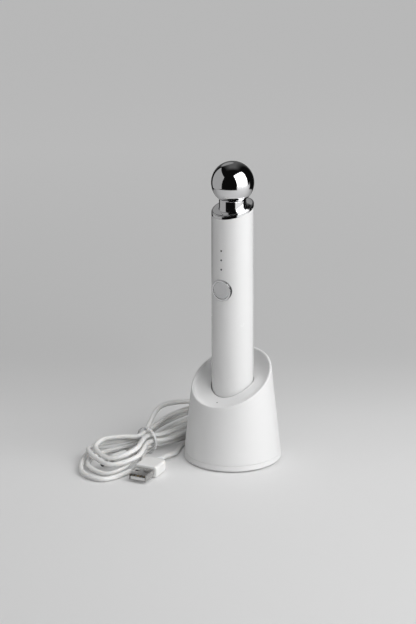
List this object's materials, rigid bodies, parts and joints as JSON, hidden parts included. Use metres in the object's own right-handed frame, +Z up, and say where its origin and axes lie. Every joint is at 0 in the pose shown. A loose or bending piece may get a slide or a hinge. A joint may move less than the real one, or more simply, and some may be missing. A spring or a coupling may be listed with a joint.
{
  "type": "heated eye massager wand",
  "caption": "Slim cordless massager wand with a heated steel ball head, standing in a slanted charging stand with its coiled charging lead beside it.",
  "frame": {"origin": "centre of the stand's foot, on the table", "axes": "+Z up along the wand, -Y to the front, where the button, the lights and the low side of the stand's rim face, +X to the right seen from the front"},
  "size_m": [0.1104, 0.1355, 0.199],
  "materials": {
    "white_barrel": "white moulded plastic with a soft gloss",
    "white_stand": "white moulded plastic, satin",
    "chrome": "bright chrome plate",
    "button_white": "smooth pale plastic",
    "inner_plastic": "grey moulded plastic",
    "black_plastic": "black moulded plastic",
    "light_clear": "smoky clear plastic",
    "cell_wrap": "shrink wrap",
    "board_green": "lacquered circuit board",
    "steel": "turned steel",
    "plug_steel": "drawn steel",
    "core_aluminium": "turned aluminium",
    "heater_ceramic": "fired ceramic",
    "gold_contact": "plated contact",
    "foot_rubber": "grey rubber",
    "plug_white": "white moulded vinyl",
    "cable_white": "white vinyl jacket",
    "tie_clear": "milky plastic strap"
  },
  "bodies": {
    "stand": {"stand_shell": "white_stand", "stand_base": "white_stand", "foot_ring": "foot_rubber", "ballast_weight": "steel", "stand_screws": "steel", "stand_board": "board_green", "contact_block": "black_plastic", "inlet_jack": "black_plastic", "inlet_pin": "gold_contact", "stand_light_guide": "light_clear", "usb_shell": "plug_steel", "usb_tongue": "plug_white", "usb_contacts": "gold_contact", "usb_grip": "plug_white", "usb_strain_relief": "plug_white", "usb_cable_run": "cable_white", "cable_hank": "cable_white", "cable_tie": "tie_clear", "plug_cable_run": "cable_white", "plug_strain_relief": "plug_white", "plug_grip": "plug_white", "plug_barrel": "plug_steel", "plug_tip": "black_plastic"},
    "wand": {"barrel": "white_barrel", "end_cap": "white_barrel", "head_collar": "chrome", "massage_ball": "chrome", "heating_core": "core_aluminium", "heater_plate": "heater_ceramic", "temperature_sensor": "black_plastic", "head_insulator": "inner_plastic", "chassis": "inner_plastic", "battery": "cell_wrap", "main_board": "board_green", "tact_switch": "black_plastic", "indicator_leds": "light_clear", "light_pipes": "light_clear", "button_ring": "chrome", "motor": "steel", "motor_holder": "inner_plastic", "charge_board": "board_green", "charge_pads": "gold_contact"},
    "button": {"button_cap": "button_white"},
    "weight": {"motor_weight": "steel"},
    "pin_left": {"contact_pin_left": "gold_contact"},
    "pin_right": {"contact_pin_right": "gold_contact"}
  },
  "joints": [
    {"name": "wand_lift", "type": "slide", "parent": "stand", "child": "wand", "axis": [0, 0, 1], "range_m": [0, 0.08]},
    {"name": "button_press", "type": "slide", "parent": "wand", "child": "button", "axis": [0, 1, 0], "range_m": [0, 0.0004], "stiffness_N_per_m": 900},
    {"name": "weight_spin", "type": "hinge", "parent": "wand", "child": "weight", "pos_m": [0, 0.0005, 0.1501], "axis": [0, 0, 1], "continuous": true},
    {"name": "pin_left_press", "type": "slide", "parent": "stand", "child": "pin_left", "axis": [0, 0, 1], "range_m": [-0.0008, 0], "stiffness_N_per_m": 400},
    {"name": "pin_right_press", "type": "slide", "parent": "stand", "child": "pin_right", "axis": [0, 0, 1], "range_m": [-0.0008, 0], "stiffness_N_per_m": 400}
  ]
}
